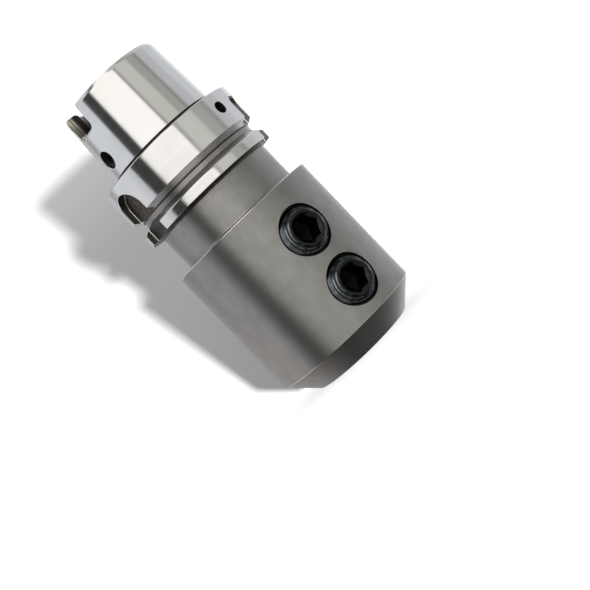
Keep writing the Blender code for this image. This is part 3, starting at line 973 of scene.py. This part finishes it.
# Reach and height of the nozzle's outer end, its inner end and the channel's upper end
CHANNEL_ROUTE = [(0.0152, -0.002), (CHANNEL_REACH, 0.01003), (CHANNEL_REACH, 0.0655)]


def drilled(name, length, place):
    """A cutter like a drill, from its place's origin along its Z."""
    rings = [[(x, y, z) for x, y in circle(CHANNEL_RADIUS, 32)] for z in (0, length)]
    return loft(name, rings, [SHADED_INSIDE], holder_finishes, place, SHADED_INSIDE)


def coolant_cutters():
    """A cross feed, a channel along the wall and a nozzle on each side of the bore."""
    cutters = []
    for side, azimuth in CHANNEL_AZIMUTHS.items():
        out = Vector((math.sin(math.radians(azimuth)), -math.cos(math.radians(azimuth)), 0))
        route = [out * reach + Vector((0, 0, height)) for reach, height in CHANNEL_ROUTE]
        for number, (start, end) in enumerate(zip(route, route[1:]), 1):
            along = end - start
            place = Matrix.Translation(start) @ along.to_track_quat("Z", "Y").to_matrix().to_4x4()
            cutters.append(drilled(f"{side}_channel_{number}", along.length, place))
        cutters.append(drilled(f"{side}_feed", CHANNEL_REACH, facing(azimuth, FEED_HEIGHT)))
    return cutters


# %% Cutting
SHORTEST_EDGE = 1e-7
SHARP_ANGLE = 30


def drop_short_edges(mesh):
    """Closes up the edges, too short to see, that cuts leave where their surfaces meet."""
    bm = bmesh.new()
    bm.from_mesh(mesh)
    bmesh.ops.dissolve_degenerate(bm, edges=bm.edges, dist=SHORTEST_EDGE)
    finish_mesh(bm, mesh)


def cut_all(target, cutters, sharp_angle=SHARP_ANGLE):
    """Takes each cutter's volume out of the target and removes the cutters."""
    for cutter in cutters:
        modifier = target.modifiers.new(cutter.name, "BOOLEAN")
        modifier.object = cutter
        modifier.operation = "DIFFERENCE"
        modifier.solver = "MANIFOLD"
        modifier.material_mode = "TRANSFER"
    graph = bpy.context.evaluated_depsgraph_get()
    mesh = bpy.data.meshes.new_from_object(target.evaluated_get(graph))
    target.modifiers.clear()
    target.data = mesh
    drop_short_edges(mesh)
    mesh.shade_smooth()
    mesh.set_sharp_from_angle(angle=math.radians(sharp_angle))
    for cutter in cutters:
        bpy.data.objects.remove(cutter)


cut_all(holder, slot_cutters() + hole_cutters() + screw_cutters() + coolant_cutters())
print("holder cut:", len(holder.data.polygons), "faces")

# %% [markdown]
# A turned surface is made of narrow flat facets. Blender averages their normals at each
# vertex, but where a cut crosses a facet that average leans to one side, and a polished
# surface shows it as a smudge. On the turned faces each normal is put back in the plane
# of the axis, where the lathe would leave it.

# %% Normals of turned faces
MOST_LEAN = 0.03
SAME_SLOPE = 0.002
NEAR_ZERO = 1e-9


def read_all(items, name, width=3):
    """An attribute of all items as an array: a row for each vector, or whole numbers."""
    values = np.empty(len(items) * width, np.int64 if width == 1 else float)
    items.foreach_get(name, values)
    return values if width == 1 else values.reshape(-1, width)


def straighten_normals(mesh, turned_finishes):
    """Takes the sideways lean out of the normals of faces that the lathe made.

    On the cylinders and the taper the whole normal is known, so each gets exactly that.
    """
    normals = read_all(mesh.corner_normals, "vector")
    places = read_all(mesh.vertices, "co")[read_all(mesh.loops, "vertex_index", 1)]
    sizes = read_all(mesh.polygons, "loop_total", 1)
    finishes = read_all(mesh.polygons, "material_index", 1)
    face_normals = read_all(mesh.polygon_normals, "vector")
    centres = read_all(mesh.polygons, "center")
    reach = np.maximum(np.hypot(centres[:, 0], centres[:, 1]), NEAR_ZERO)
    sideways = face_normals[:, 1] * centres[:, 0] - face_normals[:, 0] * centres[:, 1]
    turned_face = np.isin(finishes, turned_finishes) & (np.abs(sideways / reach) < MOST_LEAN)
    chosen = np.repeat(turned_face, sizes)
    distance = np.maximum(np.hypot(places[:, 0], places[:, 1]), NEAR_ZERO)
    out = places[:, :2] / distance[:, None]
    along = (normals[:, :2] * out).sum(1)
    fixed = normals.copy()
    fixed[:, :2] = out * along[:, None]
    fixed /= np.maximum(np.linalg.norm(fixed, axis=1), NEAR_ZERO)[:, None]
    slope = 1 / TAPER_RATIO / 2
    rise = face_normals[:, 2]
    straight = (np.abs(rise) < SAME_SLOPE) | (np.abs(rise - slope) < SAME_SLOPE)
    exact = np.repeat(straight, sizes)
    rise = np.repeat(rise, sizes)[exact]
    fixed[exact, :2] = out[exact] * np.sqrt(1 - rise**2)[:, None]
    fixed[exact, 2] = rise
    normals[chosen] = fixed[chosen]
    mesh.normals_split_custom_set(normals.tolist())
    print(f"{mesh.name}: {turned_face.sum()} of {len(sizes)} faces straightened")


straighten_normals(holder.data, [GROUND, SATIN, FLANK])

# %% The holder takes its place
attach(holder, "holder")
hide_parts("holder_body")
print(holder.name, "has", len(holder.data.materials), "finishes")

# %% [markdown]
# ## Clamp screws
#
# Each clamp screw is a short socket screw, black from its oxide bath and lightly oiled.
# The crests of its thread have rubbed down to cool grey steel here and there.
# The thread runs out over the chamfer at its end, which leaves the fine rings round the
# socket that the photograph shows. The thread is a real helix: a grid whose rows climb
# one pitch per turn. A Screw modifier could make it too, but the grid also lets the
# chamfers at both ends cut the thread off cleanly.

# %% Black oxide
def black_oxide():
    """Black oxide on steel: a dark thin skin under a film of oil."""
    material, tree, shader = new_steel("black_oxide", (0.024, 0.025, 0.028), 0.24)
    wear = noise(tree, 420, 4)
    mottle(tree, shader, wear, (0.45, 0.75), (0.013, 0.015, 0.016), (0.036, 0.041, 0.043))
    vary_roughness(tree, shader, wear, (0.3, 0.7), 0.2, 0.3)
    fill(shader, Coat_Weight=0.3, Coat_Roughness=0.1, Coat_IOR=1.5)
    add_bump(tree, shader, noise(tree, 3000, 2), 0.00003, 0.1)
    return material


def socket_shade_black():
    """The same oxide in the broached socket: dry and rough, and painted darker as its shade."""
    # Its darker base colour is painted shade
    material, tree, shader = new_steel("socket_shade_black", (0.016, 0.016, 0.018), 0.55)
    marks = noise(tree, 900, 3, (1, 1, 6))
    mottle(tree, shader, marks, (0.3, 0.7), (0.011, 0.011, 0.013), (0.022, 0.022, 0.023))
    add_bump(tree, shader, marks, 0.00003, 0.2)
    return material


def rubbed_oxide():
    """The thread's crests, where the oxide has rubbed down to cool grey steel."""
    material, tree, shader = new_steel("rubbed_oxide", (0.10, 0.11, 0.12), 0.2)
    wear = noise(tree, 200, 4)
    mottle(tree, shader, wear, (0.44, 0.64), (0.011, 0.013, 0.014), (0.205, 0.23, 0.245))
    add_bump(tree, shader, noise(tree, 3000, 2), 0.00003, 0.1)
    return material


OXIDE, SOCKET, RUBBED = range(3)
oxide = [black_oxide(), socket_shade_black(), rubbed_oxide()]
print("screw finishes:", [material.name for material in oxide])

# %% The socket's cutters
UPRIGHT = Matrix.Identity(4)
SOCKET_HALF = 0.005
SOCKET_CORNER = SOCKET_HALF / math.cos(math.radians(30))
SOCKET_FLOOR = SCREW_OUTER_END - 0.009
# Radius and height past the screw's end of each ring of the socket's chamfer
MOUTH_RINGS = [(SOCKET_HALF, -0.001), (SOCKET_CORNER + 0.0003, 0), (SOCKET_CORNER + 0.0023, 0.002)]


def socket_cutters(name):
    """The hexagon with its drill point, and the round chamfer at its mouth."""
    hexagon = circle(SOCKET_CORNER, 6)
    rings = [[(x / 4, y / 4, SOCKET_FLOOR - SOCKET_CORNER / 2) for x, y in hexagon]]
    for level in (SOCKET_FLOOR, SCREW_OUTER_END + 0.002):
        rings.append([(x, y, level) for x, y in hexagon])
    socket = loft(f"{name}_socket", rings, [SOCKET, SOCKET], oxide, UPRIGHT, SOCKET)
    rings = []
    for radius, level in MOUTH_RINGS:
        rings.append([(x, y, SCREW_OUTER_END + level) for x, y in circle(radius)])
    mouth = loft(f"{name}_mouth", rings, [OXIDE, OXIDE], oxide, UPRIGHT)
    return [socket, mouth]


# %% The screws
SCREW_THREAD_DEPTH = 0.0006
SCREW_RIDGE = 0.0005
OUTER_CHAMFER, INNER_CHAMFER = 0.0021, 0.0025
SCREW_SHARP_ANGLE = 32


def screw_limit(z):
    """The screw's largest radius at a height, with a chamfer at both ends."""
    return min(
        SCREW_RADIUS - OUTER_CHAMFER + (SCREW_OUTER_END - z),
        SCREW_RADIUS - INNER_CHAMFER + (z - SCREW_INNER_END),
        SCREW_RADIUS,
    )


def clamp_screw(name, height):
    """A threaded socket screw in its place, with the socket cut."""
    radii, ends = (SCREW_RADIUS, SCREW_RADIUS - SCREW_THREAD_DEPTH), (SCREW_INNER_END, SCREW_OUTER_END)
    finishes = OXIDE, RUBBED
    screw = threaded_rod(name, radii, ends, screw_limit, finishes, oxide, UPRIGHT, ridge=SCREW_RIDGE)
    cut_all(screw, socket_cutters(name), SCREW_SHARP_ANGLE)
    screw.matrix_world = facing(0, height)
    return screw


for side, height in SCREW_HEIGHTS.items():
    screw = clamp_screw(f"{side}_threaded_screw", height)
    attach(screw, f"{side}_screw")
    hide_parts(f"{side}_clamp_screw")
    print(screw.name, len(screw.data.polygons), "faces")

# %% [markdown]
# ## Coolant tube
#
# Inside the hollow shank sits a thin tube that takes coolant from the spindle. A ring nut
# with four slots holds its collar down between two rubber rings. They are turned like
# the holder, in brighter and duller steel.

# %% Finishes of tube, nut and rings
def tube_steel():
    """Bright drawn tube with faint lines along the turning."""
    material, tree, shader = new_steel("bright_tube", (0.66, 0.655, 0.64), 0.22, 0.5)
    add_bump(tree, shader, noise(tree, 300, 2, (1, 1, 30)), 0.00002, 0.08)
    vary_roughness(tree, shader, noise(tree, 200, 3), (0.3, 0.7), 0.19, 0.27)
    return material


def nut_steel():
    """Dull turned steel with coarser rings."""
    material, tree, shader = new_steel("dull_nut", (0.36, 0.35, 0.34), 0.38, 0.4)
    add_bump(tree, shader, noise(tree, 300, 2, (1, 1, 20)), 0.00004, 0.15)
    mottle(tree, shader, noise(tree, 260, 3), None, (0.32, 0.31, 0.30), (0.41, 0.40, 0.385))
    return material


def seal_rubber():
    """Black nitrile rubber."""
    material, tree, shader = new_steel("nitrile_rubber", (0.02, 0.02, 0.02), 0.55)
    shader.inputs["Metallic"].default_value = 0.0
    mottle(tree, shader, noise(tree, 900, 2), None, (0.014, 0.014, 0.015), (0.03, 0.03, 0.03))
    add_bump(tree, shader, noise(tree, 4000, 2), 0.00002, 0.2)
    return material


# %% Helpers for the inner pieces
INNER_SIDES = 96


def plain_outline(corners):
    """A softened outline in one finish."""
    return softened([(*corner, 0) for corner in corners], 3)


def place_piece(piece, node):
    """The piece stands for a CAD node that moves with the holder."""
    piece.data.shade_smooth()
    piece.data.set_sharp_from_angle(angle=math.radians(SHARP_ANGLE))
    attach(piece, "holder")
    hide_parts(node)
    print(piece.name, len(piece.data.polygons), "faces")


# %% The tube
# Radius, height and rounding of each corner
tube_corners = [
    (0.004, 0.0983, 0.0002),
    (0.006, 0.0983, 0.0002),
    (0.006, 0.0999, 0),
    (0.0076, 0.0999, 0.0001),
    (0.0076, 0.1019, 0.0001),
    (0.006, 0.1019, 0),
    (0.006, 0.1342, 0.0004),
    (0.0054, 0.1348, 0.0002),
    (0.004, 0.1348, 0.0002),
]
tube = turn("turned_coolant_tube", plain_outline(tube_corners), INNER_SIDES, [tube_steel()])
place_piece(tube, "coolant_tube")

# %% The nut
NUT_HIGH = 0.1118
NUT_BORE, NUT_RADIUS = 0.0063, 0.009
SLOT_HALF_LENGTH, SLOT_HALF_WIDTH = 0.011, 0.0015
SLOT_HEIGHTS = 0.1096, 0.114

nut_corners = [
    (NUT_BORE, NUT_LOW, 0.0002),
    (NUT_RADIUS, NUT_LOW, 0.0004),
    (NUT_RADIUS, NUT_HIGH, 0.0004),
    (NUT_BORE, NUT_HIGH, 0.0002),
]
nut_finish = [nut_steel()]
nut = turn("slotted_tube_nut", plain_outline(nut_corners), INNER_SIDES, nut_finish)
nut_slots = []
for number, degrees in enumerate((45, 135), 1):
    rings = [[(x * SLOT_HALF_LENGTH, y * SLOT_HALF_WIDTH, z) for x, y in SQUARE] for z in SLOT_HEIGHTS]
    place = round_z(math.radians(degrees))
    nut_slots.append(loft(f"nut_slot_{number}", rings, [0], nut_finish, place))
cut_all(nut, nut_slots)
place_piece(nut, "coolant_tube_nut")

# %% The rubber rings
RING_HEIGHTS = {"lower": 0.09895, "upper": 0.10285}
RING_MIDDLE, SECTION_RADIUS = 0.00695, 0.00065
RING_STEPS = 16

rubber = [seal_rubber()]
for side, height in RING_HEIGHTS.items():
    section = corner_arc((RING_MIDDLE, height), SECTION_RADIUS, 0, 360, RING_STEPS)[:-1]
    seal = turn(f"{side}_rubber_ring", (section, [0] * RING_STEPS), INNER_SIDES, rubber)
    place_piece(seal, f"{side}_tube_seal")
